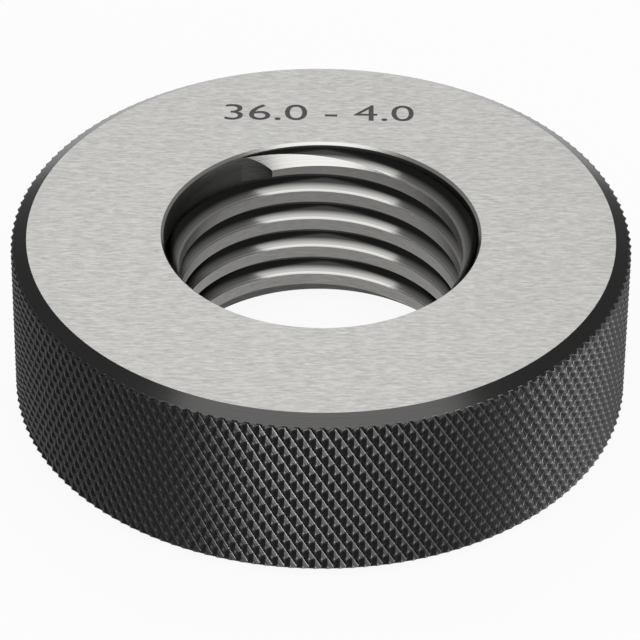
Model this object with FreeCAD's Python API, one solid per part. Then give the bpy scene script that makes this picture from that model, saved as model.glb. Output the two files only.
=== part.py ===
import FreeCAD, Part
import math
import os
from FreeCAD import Vector

os.makedirs("parts", exist_ok=True)

# Thread ring gauge, turned from one piece of steel.
# Millimetres, +Z up along the thread axis, origin at the centre of the lower face.

# Ring body
outer_diameter = 71.0
thickness = 21.5
edge_chamfer_width = 1.9
edge_chamfer_angle = 30.0

# Diamond knurl on the rim: pyramids between two crossing families of grooves
knurl_count = 62
knurl_depth = 0.47
diamond_height = 5.0

# Right-hand internal thread
major_diameter = 36.0
pitch = 4.0
thread_depth = 1.75
flank_angle = 30.0
root_flat = pitch / 8.0

# Upper end of the thread, as a direction from +X, and the wall left above and below the thread
thread_start_angle = 129.5
end_land = 0.26

# The incomplete thread is milled away at both ends by a round cutter
cutter_diameter = 12.0
cutter_overrun = 0.4

# Mouth of the bore at each face, countersunk at 45 degrees into the first ridge as well
mouth_chamfer = 0.3

# The ridge is drawn this far into the wall and past its crest, then trimmed
ridge_seat = 0.3
crest_excess = 0.5

outer_radius = outer_diameter / 2.0
major_radius = major_diameter / 2.0
minor_radius = major_radius - thread_depth
axis = Vector(0, 0, 1)
centre = Vector(0, 0, 0)


def turned_blank():
    """The turned ring, bored to the thread's major diameter, with room for the knurl outside."""
    slope = math.tan(math.radians(edge_chamfer_angle))
    face_radius = outer_radius - edge_chamfer_width
    wide_radius = outer_radius + edge_chamfer_width
    wide_drop = 2.0 * edge_chamfer_width * slope
    mouth_radius = major_radius + mouth_chamfer
    outline = [
        (major_radius, mouth_chamfer),
        (mouth_radius, 0.0),
        (face_radius, 0.0),
        (wide_radius, wide_drop),
        (wide_radius, thickness - wide_drop),
        (face_radius, thickness),
        (mouth_radius, thickness),
        (major_radius, thickness - mouth_chamfer),
    ]
    points = [Vector(radius, 0.0, height) for radius, height in outline]
    half_section = Part.Face(Part.makePolygon(points + points[:1]))
    return half_section.revolve(centre, axis, 360.0)


def knurled_bar():
    """A bar with the diamond knurl rolled along it, longer than the ring is thick."""
    columns = 2 * knurl_count
    reach = math.ceil(thickness / diamond_height) + 1
    points = []
    for row in range(-reach, reach + 1):
        height = (thickness + row * diamond_height) / 2.0
        for column in range(columns):
            on_peak = (row + column) % 2 == 0
            radius = outer_radius if on_peak else outer_radius - knurl_depth
            turn = 2.0 * math.pi * column / columns
            points.append(Vector(radius * math.cos(turn), radius * math.sin(turn), height))

    facets = []
    for row in range(2 * reach):
        for column in range(columns):
            a = row * columns + column
            b = row * columns + (column + 1) % columns
            if (row - reach + column) % 2 == 0:
                facets += [(a, b, a + columns), (b, b + columns, a + columns)]
            else:
                facets += [(a, b, b + columns), (a, b + columns, a + columns)]

    last = 2 * reach * columns
    for ring, above in ((0, False), (last, True)):
        hub = len(points)
        points.append(Vector(0.0, 0.0, points[ring].z))
        for column in range(columns):
            a = ring + column
            b = ring + (column + 1) % columns
            facets.append((a, b, hub) if above else (b, a, hub))
    skin = Part.Shape()
    skin.makeShapeFromMesh((points, facets), 0.001)
    return Part.makeSolid(skin.Shells[0])


def ridge_section():
    """Section of the thread ridge, wider than the finished ridge at both its base and its tip."""
    flank = math.tan(math.radians(flank_angle))
    half_base = (pitch - root_flat) / 2.0
    half_seat = half_base + ridge_seat * flank
    half_tip = half_base - (thread_depth + crest_excess) * flank
    seat_radius = major_radius + ridge_seat
    tip_radius = minor_radius - crest_excess
    corners = [
        Vector(seat_radius, 0.0, -half_seat),
        Vector(seat_radius, 0.0, half_seat),
        Vector(tip_radius, 0.0, half_tip),
        Vector(tip_radius, 0.0, -half_tip),
    ]
    return Part.makePolygon(corners + corners[:1])


def end_cutter(angle, height):
    """The round cutter, standing one pitch tall about an end of the thread."""
    reach = major_radius + cutter_overrun - cutter_diameter / 2.0
    turn = math.radians(angle)
    foot = Vector(reach * math.cos(turn), reach * math.sin(turn), height - pitch / 2.0)
    return Part.makeCylinder(cutter_diameter / 2.0, pitch, foot)


def countersink():
    """The 45 degree countersink of the lower mouth, deep enough to reach past the crests."""
    mouth_radius = major_radius + mouth_chamfer
    return Part.makeCone(mouth_radius + pitch, mouth_radius - pitch, 2.0 * pitch, Vector(0, 0, -pitch))


def thread_ridge():
    """The thread's ridge, swept along its helix, bored, countersunk and milled back at its ends."""
    end_height = (pitch - root_flat) / 2.0 + end_land
    rise = thickness - 2.0 * end_height
    end_angle = thread_start_angle - 360.0 * rise / pitch
    helix = Part.makeHelix(pitch, rise, major_radius)
    ridge = Part.Wire(helix.Edges).makePipeShell([ridge_section()], True, True)
    ridge.rotate(centre, axis, end_angle)
    ridge.translate(axis * end_height)

    upper_countersink = countersink().mirror(Vector(0, 0, thickness / 2.0), axis)
    ridge = ridge.cut(Part.makeCylinder(minor_radius, thickness))
    ridge = ridge.cut(countersink()).cut(upper_countersink)
    ridge = ridge.cut(end_cutter(thread_start_angle, thickness - end_height))
    return ridge.cut(end_cutter(end_angle, end_height))


gauge_ring = turned_blank().fuse(thread_ridge()).common(knurled_bar()).Solids[0]
gauge_ring.exportStep("parts/gauge_ring.step")
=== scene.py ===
import math

import bmesh
import bpy
from mathutils import Matrix, Vector
from mathutils.geometry import delaunay_2d_cdt


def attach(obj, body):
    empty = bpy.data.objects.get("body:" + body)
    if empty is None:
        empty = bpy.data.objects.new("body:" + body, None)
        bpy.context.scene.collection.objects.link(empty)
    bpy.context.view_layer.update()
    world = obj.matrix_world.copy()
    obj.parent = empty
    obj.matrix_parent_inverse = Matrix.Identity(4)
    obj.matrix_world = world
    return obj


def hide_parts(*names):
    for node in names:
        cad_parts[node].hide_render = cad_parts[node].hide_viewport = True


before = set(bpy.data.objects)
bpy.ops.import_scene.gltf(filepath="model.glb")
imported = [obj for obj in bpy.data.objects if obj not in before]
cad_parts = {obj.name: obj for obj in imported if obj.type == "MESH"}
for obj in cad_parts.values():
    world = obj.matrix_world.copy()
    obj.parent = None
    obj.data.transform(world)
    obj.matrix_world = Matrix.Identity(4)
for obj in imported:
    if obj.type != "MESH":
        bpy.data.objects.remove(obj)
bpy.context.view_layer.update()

MM = 0.001

# Ring body, in millimetres as in the part's source
OUTER_RADIUS = 35.5
THICKNESS = 21.5
FACE_RADIUS = 33.6
CHAMFER_SLOPE = math.tan(math.radians(30.0))

# Bore and right-hand thread; the ridge is twice HALF_BASE wide at its root
MAJOR_RADIUS = 18.0
MINOR_RADIUS = 16.25
MOUTH_CHAMFER = 0.3
MOUTH_RADIUS = MAJOR_RADIUS + MOUTH_CHAMFER
PITCH = 4.0
HALF_BASE = 1.75
FLANK_SLOPE = math.tan(math.radians(30.0))

# The thread's ends: wall left past them, their depth from a face, and the upper one's direction
# in degrees from +X
END_LAND = 0.26
END_DEPTH = HALF_BASE + END_LAND
THREAD_START = 129.5
THREAD_SWEEP = (THICKNESS - 2.0 * END_DEPTH) * 360.0 / PITCH

# Round cutter that mills the ends back, and the distance of its centre from the thread's axis
CUTTER_RADIUS = 6.0
CUTTER_OVERRUN = 0.4
CUTTER_REACH = MAJOR_RADIUS + CUTTER_OVERRUN - CUTTER_RADIUS
CUTTER_COLUMNS = 60

# Diamond knurl at its real count, with four columns and four rows of points to a diamond. One
# family of grooves is a little shallower, and the peaks are blunt, at a share of the depth
KNURL_COUNT = 161
KNURL_DEPTH = 0.47
KNURL_SHALLOWER = 0.06
KNURL_PEAK = 0.86
DIAMOND_HEIGHT = 2.4
COLUMNS = 4 * KNURL_COUNT
ROW_HEIGHT = DIAMOND_HEIGHT / 4.0

# Rows of points between a face and the plain knurl, as distances from the face: close together
# where the chamfer cuts the knurl, then wide apart on the chamfer alone
CUT_FOOT = 1.12
CUT_STEP = 0.05
CUT_ROWS = 7
CHAMFER_ROWS = (0.55, 0.27, 0.0)

# Nominal diameter and pitch marked on the upper face
MARK = "36.0 - 4.0"
MARK_CENTRE = (-0.35, 24.35)
MARK_WIDTH = 22.4
MARK_HEIGHT = 3.3
MARK_DEPTH = 0.05

# Finishes, in the order of the gauge's material slots
FACE, CHAMFER, KNURL, COUNTERSINK, FLANK, CREST, WALL, MARKED = range(8)

# Noise stays mostly within this range, and a finish is spread over it
NOISE_LOW = 0.3
NOISE_HIGH = 0.7

# How far a scratch or a tool line stands out, and how hollow the flanks look, as a factor on the
# squared distance from the crest, in millimetres
SCRATCH_DEPTH = 0.01
FLANK_HOLLOW = 0.15

# Points nearer than this are one, and edges flatter than this run on as one surface
MERGE_DISTANCE = 0.001
SOFT_ANGLE = math.radians(20.0)


def srgb(code):
    """A hex colour as Blender's linear RGBA."""
    values = [int(code[i:i + 2], 16) / 255.0 for i in (1, 3, 5)]
    linear = [v / 12.92 if v <= 0.04045 else ((v + 0.055) / 1.055) ** 2.4 for v in values]
    return (*linear, 1.0)


class Shell:
    """Points and faces of the gauge as they are laid down, with a finish for each face."""

    def __init__(self):
        self.points = []
        self.faces = []
        self.finishes = []
        self.heights = []

    def point(self, radius, degrees, z, height=0.0):
        """Adds a point, with its height on the knurl, and returns its number."""
        angle = math.radians(degrees)
        self.points.append((radius * math.cos(angle) * MM, radius * math.sin(angle) * MM, z * MM))
        self.heights.append(height)
        return len(self.points) - 1

    def face(self, corners, finish):
        self.faces.append(corners)
        self.finishes.append(finish)

    def ring(self, radius, z, directions):
        """Adds a ring of points, one for each direction in degrees."""
        return [self.point(radius, degrees, z) for degrees in directions]

    def join(self, lower, upper, finish):
        """Adds a band of faces between two rings."""
        for i in range(len(lower)):
            j = (i + 1) % len(lower)
            self.face((lower[i], lower[j], upper[j], upper[i]), finish)


def knurl_height(degrees, z):
    """Share of the knurl's depth: 0 in the bottom of its deeper grooves, and most on its peaks."""
    across = KNURL_COUNT * degrees / 360.0
    along = (z - THICKNESS / 2.0) / DIAMOND_HEIGHT
    deep = abs(2.0 * ((across + along) % 1.0) - 1.0)
    shallow = abs(2.0 * ((across - along) % 1.0) - 1.0) - KNURL_SHALLOWER / KNURL_DEPTH
    return min(1.0 - max(deep, shallow), KNURL_PEAK)


def rim_surface(degrees, z):
    """Radius of the rim, whether it is knurl or chamfer there, and the knurl's height."""
    chamfer = FACE_RADIUS + min(z, THICKNESS - z) / CHAMFER_SLOPE
    height = knurl_height(degrees, z)
    radius = OUTER_RADIUS - KNURL_DEPTH * (1.0 - height)
    if radius < chamfer:
        return radius, KNURL, height
    return chamfer, CHAMFER, 0.0


def rim_rows():
    """Heights of the rows across the rim, closer together where the chamfer cuts the knurl."""
    half = THICKNESS / 2.0
    steps = math.floor((half - CUT_FOOT) / ROW_HEIGHT)
    knurled = [half + k * ROW_HEIGHT for k in range(-steps, steps + 1)]
    edge = [CUT_FOOT - k * CUT_STEP for k in range(CUT_ROWS)] + list(CHAMFER_ROWS)
    return edge[::-1] + knurled + [THICKNESS - distance for distance in edge]


def build_rim(shell):
    """Knurled band and both edge chamfers; returns the rings at the two faces."""
    turn = 360.0 / COLUMNS
    rows = rim_rows()
    rings = []
    for z in rows:
        ring = []
        for i in range(COLUMNS):
            radius, _, height = rim_surface(i * turn, z)
            ring.append((shell.point(radius, i * turn, z, height), radius))
        rings.append(ring)
    for low, high, z, z_next in zip(rings, rings[1:], rows, rows[1:]):
        for i in range(COLUMNS):
            j = (i + 1) % COLUMNS
            (a, ra), (b, rb), (c, rc), (d, rd) = low[i], low[j], high[j], high[i]
            middle, finish, _ = rim_surface((i + 0.5) * turn, (z + z_next) / 2.0)
            if finish == CHAMFER:
                shell.face((a, b, c, d), finish)
            elif abs(ra + rc - 2.0 * middle) < abs(rb + rd - 2.0 * middle):
                shell.face((a, b, c), finish)
                shell.face((a, c, d), finish)
            else:
                shell.face((a, b, d), finish)
                shell.face((b, c, d), finish)
    return [p for p, _ in rings[0]], [p for p, _ in rings[-1]]


def cutter_angle(radius):
    """How far round from an end of the thread the cutter reaches at a radius, in degrees."""
    across = radius ** 2 + CUTTER_REACH ** 2 - CUTTER_RADIUS ** 2
    return math.degrees(math.acos(across / (2.0 * radius * CUTTER_REACH)))


def ridge_tip(from_end):
    """Radius of the ridge's tip, at so many degrees from an end of the thread."""
    turn = math.radians(from_end)
    aside = CUTTER_REACH * math.sin(turn)
    if from_end > 90.0 or aside > CUTTER_RADIUS:
        return MINOR_RADIUS
    milled = CUTTER_REACH * math.cos(turn) + math.sqrt(CUTTER_RADIUS ** 2 - aside ** 2)
    return min(max(milled, MINOR_RADIUS), MAJOR_RADIUS)


def ridge_side(depth, tip):
    """One side of the ridge as radius and depth from the face: root, flank's end, crest's edge."""
    root = (MAJOR_RADIUS, max(depth - HALF_BASE, MOUTH_CHAMFER))
    tip_depth = depth - HALF_BASE + (MAJOR_RADIUS - tip) * FLANK_SLOPE
    sunk_depth = MOUTH_RADIUS - tip
    if tip_depth >= sunk_depth:
        return root, (tip, tip_depth), (tip, tip_depth)
    level = MOUTH_RADIUS - depth + HALF_BASE - MAJOR_RADIUS * FLANK_SLOPE
    radius = min(level / (1.0 - FLANK_SLOPE), MAJOR_RADIUS)
    return root, (radius, MOUTH_RADIUS - radius), (tip, sunk_depth)


def bore_columns():
    """Directions of the bore's columns, in degrees, closer together where the cutter has been."""
    narrowest = 0.05
    crest, wall = cutter_angle(MINOR_RADIUS), cutter_angle(MAJOR_RADIUS)
    milled = [crest * k / CUTTER_COLUMNS for k in range(CUTTER_COLUMNS + 1)] + [wall]
    fine = [THREAD_START - angle for angle in milled]
    fine += [THREAD_START - THREAD_SWEEP + angle for angle in milled]
    fine = sorted({round(angle % 360.0, 6) for angle in fine})
    whole = [angle for angle in range(360) if min(abs(angle - f) for f in fine) > narrowest]
    return sorted(fine + whole)


def build_bore(shell):
    """Threaded bore with its mouth chamfers; returns the rings at the two faces."""
    columns = bore_columns()
    low_end = THREAD_START - THREAD_SWEEP
    slack = 1e-4
    stations = []
    for turn in range(math.floor(low_end / 360.0), 1):
        for column, degrees in enumerate(columns):
            angle = degrees + 360.0 * turn
            if low_end - slack < angle < THREAD_START + slack:
                stations.append((column, angle))
    ridge = []
    tips = []
    roots = [[] for _ in columns]
    for step, (column, angle) in enumerate(stations):
        height = END_DEPTH + PITCH * (angle - low_end) / 360.0
        tip = ridge_tip(max(0.0, min(angle - low_end, THREAD_START - angle)))
        lower = list(ridge_side(height, tip))
        upper = [(r, THICKNESS - depth) for r, depth in ridge_side(THICKNESS - height, tip)]
        corners = [shell.point(r, columns[column], z) for r, z in lower + upper[::-1]]
        roots[column].append((step, corners[0], corners[-1]))
        ridge.append(corners)
        tips.append(tip)
    for near, far, tip in zip(ridge, ridge[1:], map(max, tips, tips[1:])):
        crest = CREST if tip < MINOR_RADIUS + 1e-6 else WALL
        for k, finish in enumerate((FLANK, COUNTERSINK, crest, COUNTERSINK, FLANK)):
            shell.face((near[k], far[k], far[k + 1], near[k + 1]), finish)

    bottom = shell.ring(MAJOR_RADIUS, MOUTH_CHAMFER, columns)
    top = shell.ring(MAJOR_RADIUS, THICKNESS - MOUTH_CHAMFER, columns)
    last = len(ridge) - 1
    for left in range(len(columns)):
        right = (left + 1) % len(columns)
        here = [step for step, _, _ in roots[left] if step < last]
        there = [step for step, _, _ in roots[right] if step > 0]
        gaps_left = wall_gaps(bottom[left], top[left], roots[left], here)
        gaps_right = wall_gaps(bottom[right], top[right], roots[right], there)
        for near, far in zip(gaps_left, gaps_right):
            shell.face(tuple(far + near[::-1]), WALL)

    lower_mouth = shell.ring(MOUTH_RADIUS, 0.0, columns)
    upper_mouth = shell.ring(MOUTH_RADIUS, THICKNESS, columns)
    shell.join(lower_mouth, bottom, COUNTERSINK)
    shell.join(top, upper_mouth, COUNTERSINK)
    return lower_mouth, upper_mouth


def wall_gaps(bottom, top, roots, standing):
    """The wall's points in one column, split where a ridge stands between two stretches."""
    gaps = [[bottom]]
    for step, lower, upper in roots:
        gaps[-1].append(lower)
        if step in standing:
            gaps.append([upper])
        else:
            gaps[-1].append(upper)
    gaps[-1].append(top)
    return gaps


def mark_outline():
    """The marked figures as points in millimetres and edges between them."""
    curve = bpy.data.curves.new("size_mark", "FONT")
    curve.body = MARK
    curve.resolution_u = 6
    text = bpy.data.objects.new("size_mark", curve)
    bpy.context.scene.collection.objects.link(text)
    bpy.context.view_layer.update()
    mesh = bpy.data.meshes.new_from_object(text)
    bpy.data.objects.remove(text)
    bm = bmesh.new()
    bm.from_mesh(mesh)
    bmesh.ops.remove_doubles(bm, verts=bm.verts, dist=1e-5)
    outline = [e for e in bm.edges if len(e.link_faces) == 1]
    used = sorted({v.index for e in outline for v in e.verts})
    order = {index: k for k, index in enumerate(used)}
    bm.verts.ensure_lookup_table()
    flat = [bm.verts[index].co.to_2d() for index in used]
    edges = [tuple(order[v.index] for v in e.verts) for e in outline]
    bm.free()
    left, right = min(p.x for p in flat), max(p.x for p in flat)
    low, high = min(p.y for p in flat), max(p.y for p in flat)
    wide, tall = MARK_WIDTH / (right - left), MARK_HEIGHT / (high - low)
    points = []
    for p in flat:
        x = MARK_CENTRE[0] + (p.x - (left + right) / 2.0) * wide
        y = MARK_CENTRE[1] + (p.y - (low + high) / 2.0) * tall
        points.append(Vector((x, y)))
    return points, edges


def inside(p, points, edges):
    """Whether a point is inside the closed outlines, by counting the edges a ray crosses."""
    crossings = 0
    for a, b in edges:
        a, b = points[a], points[b]
        if (a.y > p.y) != (b.y > p.y):
            if p.x < a.x + (p.y - a.y) * (b.x - a.x) / (b.y - a.y):
                crossings += 1
    return crossings % 2 == 1


def build_face(shell, outer, inner, z, points=(), edges=()):
    """A flat face between two rings, with the outlined figures cut a little way into it."""
    rims = list(outer) + list(inner)
    flat = [Vector(shell.points[i][:2]) / MM for i in rims] + list(points)
    edge_list = [(i, (i + 1) % len(outer)) for i in range(len(outer))]
    first = len(outer)
    edge_list += [(first + i, first + (i + 1) % len(inner)) for i in range(len(inner))]
    first = len(rims)
    edge_list += [(first + a, first + b) for a, b in edges]
    out, _, faces, sources, _, _ = delaunay_2d_cdt(flat, edge_list, [], 0, 1e-6)
    level = {}
    sunk = {}

    def new_point(i, height):
        return shell.point(out[i].length, math.degrees(math.atan2(out[i].y, out[i].x)), height)

    def upper(i):
        if i not in level:
            known = [s for s in sources[i] if s < len(rims)]
            level[i] = rims[known[0]] if known else new_point(i, z)
        return level[i]

    def lower(i):
        if i not in sunk:
            sunk[i] = new_point(i, z - MARK_DEPTH)
        return sunk[i]

    mouth = set(range(len(outer), len(rims)))
    cut = set()
    for face in faces:
        if all(mouth.intersection(sources[i]) for i in face):
            continue
        middle = sum((out[i] for i in face), Vector((0.0, 0.0))) / len(face)
        if edges and inside(middle, points, edges):
            shell.face(tuple(lower(i) for i in face), MARKED)
            for a, b in zip(face, face[1:] + face[:1]):
                if (b, a) in cut:
                    cut.remove((b, a))
                else:
                    cut.add((a, b))
        else:
            shell.face(tuple(upper(i) for i in face), FACE)
    for a, b in cut:
        shell.face((upper(a), upper(b), lower(b), lower(a)), MARKED)


def build_gauge():
    """The whole gauge as one closed mesh."""
    shell = Shell()
    rim_bottom, rim_top = build_rim(shell)
    mouth_bottom, mouth_top = build_bore(shell)
    build_face(shell, rim_bottom, mouth_bottom, 0.0)
    points, edges = mark_outline()
    build_face(shell, rim_top, mouth_top, THICKNESS, points, edges)

    mesh = bpy.data.meshes.new("thread_gauge")
    mesh.from_pydata(shell.points, [], shell.faces)
    mesh.polygons.foreach_set("material_index", shell.finishes)
    knurl = mesh.attributes.new("knurl_height", "FLOAT", "POINT")
    knurl.data.foreach_set("value", shell.heights)
    bm = bmesh.new()
    bm.from_mesh(mesh)
    bmesh.ops.remove_doubles(bm, verts=bm.verts, dist=MERGE_DISTANCE * MM)
    bmesh.ops.recalc_face_normals(bm, faces=bm.faces)
    for face in bm.faces:
        face.smooth = face.material_index != KNURL
    for edge in bm.edges:
        finishes = {face.material_index for face in edge.link_faces}
        edge.smooth = len(finishes) == 1 and edge.calc_face_angle(0.0) < SOFT_ANGLE
    bm.to_mesh(mesh)
    bm.free()
    gauge = bpy.data.objects.new("thread_gauge", mesh)
    bpy.context.scene.collection.objects.link(gauge)
    return gauge


def node(tree, kind, inputs=None, **settings):
    """Adds a node, with its settings, and its inputs given as values or as sockets to link."""
    made = tree.nodes.new(kind)
    for name, value in settings.items():
        setattr(made, name, value)
    for name, value in (inputs or {}).items():
        if isinstance(value, bpy.types.NodeSocket):
            tree.links.new(value, made.inputs[name])
        else:
            made.inputs[name].default_value = value
    return made


def new_finish(name):
    """An empty node material with its tree."""
    material = bpy.data.materials.new(name)
    material.use_nodes = True
    tree = material.node_tree
    tree.nodes.clear()
    return material, tree


def streaks(tree, size):
    """Noise drawn out into streaks of so many millimetres along x, y and z."""
    where = node(tree, "ShaderNodeTexCoord").outputs["Object"]
    drawn = node(tree, "ShaderNodeMapping", {
        "Vector": where, "Scale": [1.0 / (length * MM) for length in size],
    })
    return node(tree, "ShaderNodeTexNoise", {
        "Vector": drawn.outputs["Vector"], "Scale": 1.0, "Detail": 3.0, "Roughness": 0.6,
    }).outputs["Fac"]


def axis_distance(tree):
    """Distance from the thread's axis, in metres."""
    where = node(tree, "ShaderNodeTexCoord").outputs["Object"]
    flat = node(tree, "ShaderNodeVectorMath", {0: where, 1: (1.0, 1.0, 0.0)}, operation="MULTIPLY")
    return node(tree, "ShaderNodeVectorMath", {0: flat.outputs[0]}, operation="LENGTH").outputs[1]


def tool_rings(tree, spacing):
    """Rings around the thread's axis, so many millimetres apart, as a cutting tool leaves them."""
    return node(tree, "ShaderNodeTexNoise", {
        "W": axis_distance(tree), "Scale": 1.0 / (spacing * MM), "Detail": 2.0, "Roughness": 0.7,
    }, noise_dimensions="1D").outputs["Fac"]


def vary(tree, pattern, dark, light, smooth, rough):
    """Colour between two hex codes and roughness between two values, both after a pattern."""
    share = node(tree, "ShaderNodeMapRange", {
        "Value": pattern, "From Min": NOISE_LOW, "From Max": NOISE_HIGH,
    }).outputs["Result"]
    colour = node(tree, "ShaderNodeMix", {
        0: share, 6: srgb(dark), 7: srgb(light),
    }, data_type="RGBA").outputs[2]
    roughness = node(tree, "ShaderNodeMapRange", {
        "Value": share, "To Min": smooth, "To Max": rough,
    }).outputs["Result"]
    return colour, roughness


def surface_ground_steel():
    """Hardened tool steel off the surface grinder: satin light grey, its scratches all one way.
    Real ones are finer, and are drawn 1.1 mm long and 0.2 mm wide so that they show."""
    material, tree = new_finish("surface_ground_steel")
    scratches = streaks(tree, (1.11, 0.2, 1.0))
    colour, roughness = vary(tree, scratches, "#A5A4A2", "#D0CFCC", 0.34, 0.42)
    bump = node(tree, "ShaderNodeBump", {
        "Height": scratches, "Strength": 0.25, "Distance": SCRATCH_DEPTH * MM,
    })
    shader = node(tree, "ShaderNodeBsdfPrincipled", {
        "Base Color": colour, "Metallic": 1.0, "Roughness": roughness,
        "Normal": bump.outputs["Normal"],
    })
    node(tree, "ShaderNodeOutputMaterial", {"Surface": shader.outputs[0]})
    return material


def turned_chamfer():
    """Turned chamfer left dark from hardening: half shiny, with the rings of a 0.11 mm feed."""
    material, tree = new_finish("turned_chamfer")
    rings = tool_rings(tree, 0.111)
    colour, roughness = vary(tree, rings, "#454545", "#5A5958", 0.16, 0.22)
    bump = node(tree, "ShaderNodeBump", {
        "Height": rings, "Strength": 0.3, "Distance": SCRATCH_DEPTH * MM,
    })
    shader = node(tree, "ShaderNodeBsdfPrincipled", {
        "Base Color": colour, "Metallic": 1.0, "Roughness": roughness,
        "Normal": bump.outputs["Normal"],
    })
    node(tree, "ShaderNodeOutputMaterial", {"Surface": shader.outputs[0]})
    return material


def blackened_knurl():
    """Rolled knurl under black oxide: dark and half shiny, with a grain of a third of a
    millimetre.
    Its peaks and the bottoms of its deeper grooves are lighter in colour as painted highlights."""
    material, tree = new_finish("blackened_knurl")
    height = node(tree, "ShaderNodeAttribute", attribute_name="knurl_height").outputs["Fac"]
    # Painted highlight: the colour lightens on the knurl's peaks and along the bottoms of its
    # deeper grooves
    peak = node(tree, "ShaderNodeMapRange", {
        "Value": height, "From Min": 0.6, "From Max": KNURL_PEAK,
    }).outputs["Result"]
    groove = node(tree, "ShaderNodeMapRange", {
        "Value": height, "From Min": 0.05, "From Max": 0.14, "To Min": 1.0, "To Max": 0.0,
    }).outputs["Result"]
    painted_highlight = node(tree, "ShaderNodeMath", {0: peak, 1: groove}, operation="MAXIMUM").outputs[0]
    colour = node(tree, "ShaderNodeMix", {
        0: painted_highlight, 6: srgb("#232324"), 7: srgb("#565554"),
    }, data_type="RGBA").outputs[2]
    roughness = node(tree, "ShaderNodeMapRange", {
        "Value": streaks(tree, (0.333, 0.333, 0.333)),
        "From Min": NOISE_LOW, "From Max": NOISE_HIGH, "To Min": 0.36, "To Max": 0.5,
    }).outputs["Result"]
    shader = node(tree, "ShaderNodeBsdfPrincipled", {
        "Base Color": colour, "Metallic": 1.0, "Roughness": roughness,
    })
    node(tree, "ShaderNodeOutputMaterial", {"Surface": shader.outputs[0]})
    return material


def countersunk_steel():
    """Mouths of the bore off the countersink: bright, with fine rings around the axis."""
    material, tree = new_finish("countersunk_steel")
    rings = tool_rings(tree, 0.083)
    colour, roughness = vary(tree, rings, "#BAB9B6", "#D2D1CE", 0.12, 0.18)
    bump = node(tree, "ShaderNodeBump", {
        "Height": rings, "Strength": 0.15, "Distance": SCRATCH_DEPTH * MM,
    })
    shader = node(tree, "ShaderNodeBsdfPrincipled", {
        "Base Color": colour, "Metallic": 1.0, "Roughness": roughness,
        "Normal": bump.outputs["Normal"],
    })
    node(tree, "ShaderNodeOutputMaterial", {"Surface": shader.outputs[0]})
    return material


def ground_thread_flank():
    """Thread flanks off the thread grinder: bright at the crest, hollow by bump, and painted shade
    darkens their colour towards the root, so that the light fades away into each groove."""
    material, tree = new_finish("ground_thread_flank")
    bright_radius, dark_radius = 16.4 * MM, 17.3 * MM
    ground, roughness = vary(tree, tool_rings(tree, 0.167), "#AEADAA", "#C8C7C4", 0.12, 0.16)
    distance = axis_distance(tree)
    # Painted shade: the colour ramps from the ground steel at the crest to near black at the root,
    # for the shade in each groove
    root_shade = node(tree, "ShaderNodeMapRange", {
        "Value": distance, "From Min": bright_radius, "From Max": dark_radius,
    }).outputs["Result"]
    colour = node(tree, "ShaderNodeMix", {
        0: root_shade, 6: ground, 7: srgb("#363635"),
    }, data_type="RGBA").outputs[2]
    crest = MINOR_RADIUS * MM
    past_crest = node(tree, "ShaderNodeMath", {0: distance, 1: crest}, operation="SUBTRACT")
    hollow = node(tree, "ShaderNodeMath", {
        0: past_crest.outputs[0], 1: past_crest.outputs[0],
    }, operation="MULTIPLY")
    bump = node(tree, "ShaderNodeBump", {
        "Height": hollow.outputs[0], "Strength": 1.0, "Distance": FLANK_HOLLOW / MM,
    })
    shader = node(tree, "ShaderNodeBsdfPrincipled", {
        "Base Color": colour, "Metallic": 1.0, "Roughness": roughness,
        "Normal": bump.outputs["Normal"],
    })
    node(tree, "ShaderNodeOutputMaterial", {"Surface": shader.outputs[0]})
    return material


def bored_crest():
    """Thread crests left by the boring tool: mid grey, duller than the flanks, with marks that
    run around the bore."""
    material, tree = new_finish("bored_crest")
    marks = streaks(tree, (1.43, 1.43, 0.167))
    colour, roughness = vary(tree, marks, "#7C7B79", "#969592", 0.3, 0.42)
    shader = node(tree, "ShaderNodeBsdfPrincipled", {
        "Base Color": colour, "Metallic": 1.0, "Roughness": roughness,
    })
    node(tree, "ShaderNodeOutputMaterial", {"Surface": shader.outputs[0]})
    return material


def bored_wall():
    """Root of the thread and its milled ends: dull steel whose dark colour is painted shade for
    these recesses. dark dull steel that the grinder doesn't reach.
    """
    material, tree = new_finish("bored_wall")
    marks = streaks(tree, (1.43, 1.43, 0.2))
    # Painted shade: these dark colours stand in for the shade in the root and the milled pockets
    colour, roughness = vary(tree, marks, "#4A4A49", "#5E5D5C", 0.32, 0.45)
    shader = node(tree, "ShaderNodeBsdfPrincipled", {
        "Base Color": colour, "Metallic": 1.0, "Roughness": roughness,
    })
    node(tree, "ShaderNodeOutputMaterial", {"Surface": shader.outputs[0]})
    return material


def laser_marked_steel():
    """Laser-marked figures: a dark grey, nearly matt burn in the ground face, a little mottled."""
    material, tree = new_finish("laser_marked_steel")
    burn = streaks(tree, (0.25, 0.25, 0.25))
    colour, roughness = vary(tree, burn, "#464647", "#5A5A5A", 0.5, 0.7)
    shader = node(tree, "ShaderNodeBsdfPrincipled", {
        "Base Color": colour, "Metallic": 0.3, "Roughness": roughness,
    })
    node(tree, "ShaderNodeOutputMaterial", {"Surface": shader.outputs[0]})
    return material


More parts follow.
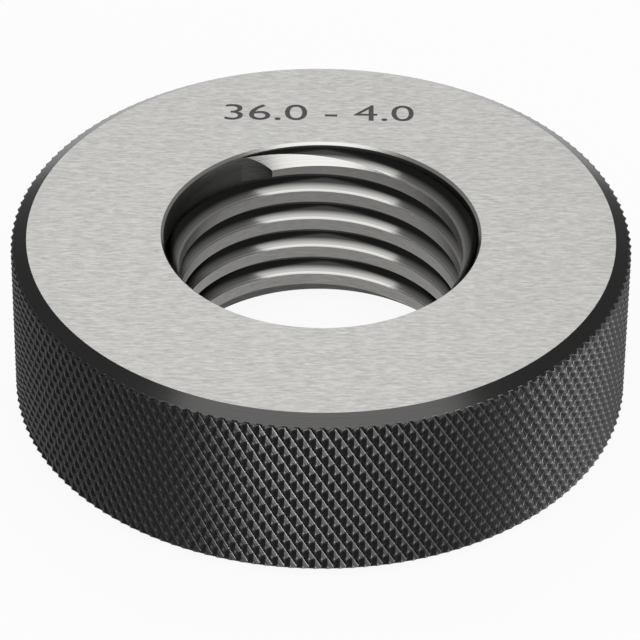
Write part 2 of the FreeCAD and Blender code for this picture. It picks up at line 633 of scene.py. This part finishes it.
def lay_floor():
    """Plain white floor: white to the eye and in the steel, with a little of the real light left
    in it for the gauge's shadow."""
    size = 1.5
    glow_share = 0.92
    mesh = bpy.data.meshes.new("floor")
    corners = [(-size, -size, 0.0), (size, -size, 0.0), (size, size, 0.0), (-size, size, 0.0)]
    mesh.from_pydata(corners, [], [(0, 1, 2, 3)])
    floor = bpy.data.objects.new("floor", mesh)
    bpy.context.scene.collection.objects.link(floor)
    material, tree = new_finish("white_floor")
    path = node(tree, "ShaderNodeLightPath").outputs
    seen = path["Is Camera Ray"]
    for other in (path["Is Glossy Ray"], path["Is Transmission Ray"]):
        seen = node(tree, "ShaderNodeMath", {0: seen, 1: other}, operation="MAXIMUM").outputs[0]
    share = node(tree, "ShaderNodeMath", {0: seen, 1: glow_share}, operation="MULTIPLY").outputs[0]
    paper = node(tree, "ShaderNodeBsdfPrincipled", {
        "Base Color": srgb("#F6F6F6"), "Roughness": 0.8,
    })
    glow = node(tree, "ShaderNodeEmission", {"Color": srgb("#FFFFFF"), "Strength": 1.0})
    mix = node(tree, "ShaderNodeMixShader", {0: share, 1: paper.outputs[0], 2: glow.outputs[0]})
    node(tree, "ShaderNodeOutputMaterial", {"Surface": mix.outputs[0]})
    mesh.materials.append(material)


def softbox(name, place, aim, width, height, power, turn=0.0):
    """A rectangular lamp at place that faces aim, in metres and watts, turned by some degrees."""
    light = bpy.data.lights.new(name, "AREA")
    light.shape = "RECTANGLE"
    light.size = width
    light.size_y = height
    light.energy = power
    lamp = bpy.data.objects.new(name, light)
    lamp.location = place
    lamp.rotation_euler = (Vector(aim) - Vector(place)).to_track_quat("-Z", "Y").to_euler()
    lamp.rotation_euler.z += math.radians(turn)
    bpy.context.scene.collection.objects.link(lamp)


def light_studio():
    """Dim grey room with three softboxes. The ground face mirrors the one at the back. The flanks
    and the chamfer mirror the square one in front, whose corner points back, so that its light
    ends left and right in the bore. The low one rakes the knurl and passes under the face."""
    world = bpy.data.worlds.new("studio")
    bpy.context.scene.world = world
    world.use_nodes = True
    tree = world.node_tree
    tree.nodes.clear()
    room = node(tree, "ShaderNodeBackground", {"Color": srgb("#FFFFFF"), "Strength": 0.25})
    node(tree, "ShaderNodeOutputWorld", {"Surface": room.outputs[0]})

    softbox("overhead_back", (-0.06, 1.05, 0.8), (-0.06, 1.05, 0.0), 0.76, 1.8, 4.6)
    softbox("overhead_front", (0.0, -0.255, 0.79), (0.0, -0.255, 0.0), 0.87, 0.87, 3.1, 45.0)
    softbox("right_low", (0.74, -0.5, 0.035), (0.0, 0.0, 0.01), 0.9, 0.06, 19.0)


def place_camera():
    """Camera of the photograph, fitted to the outlines of the rim and the bore."""
    focal_pixels = 4440.6
    picture_width = 640.0
    distance = 514.0 * MM
    elevation = math.radians(36.63)
    roll = math.radians(0.51)
    target = Vector((-0.04, 0.0, 9.0)) * MM
    forward = Vector((0.0, math.cos(elevation), -math.sin(elevation)))
    right = Vector((1.0, 0.0, 0.0))
    up = right.cross(forward)
    turned_right = math.cos(roll) * right + math.sin(roll) * up
    turned_up = math.cos(roll) * up - math.sin(roll) * right
    data = bpy.data.cameras.new("camera")
    data.sensor_width = 36.0
    data.lens = focal_pixels / picture_width * data.sensor_width
    data.clip_start = 0.01
    camera = bpy.data.objects.new("camera", data)
    axes = Matrix((turned_right, turned_up, -forward)).transposed()
    camera.matrix_world = Matrix.Translation(target - forward * distance) @ axes.to_4x4()
    bpy.context.scene.collection.objects.link(camera)
    bpy.context.scene.camera = camera


gauge = build_gauge()
for finish in (
    surface_ground_steel(), turned_chamfer(), blackened_knurl(), countersunk_steel(),
    ground_thread_flank(), bored_crest(), bored_wall(), laser_marked_steel(),
):
    gauge.data.materials.append(finish)
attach(gauge, "root")
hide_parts("gauge_ring")

lay_floor()
light_studio()
place_camera()
bpy.context.scene.view_settings.view_transform = "Standard"
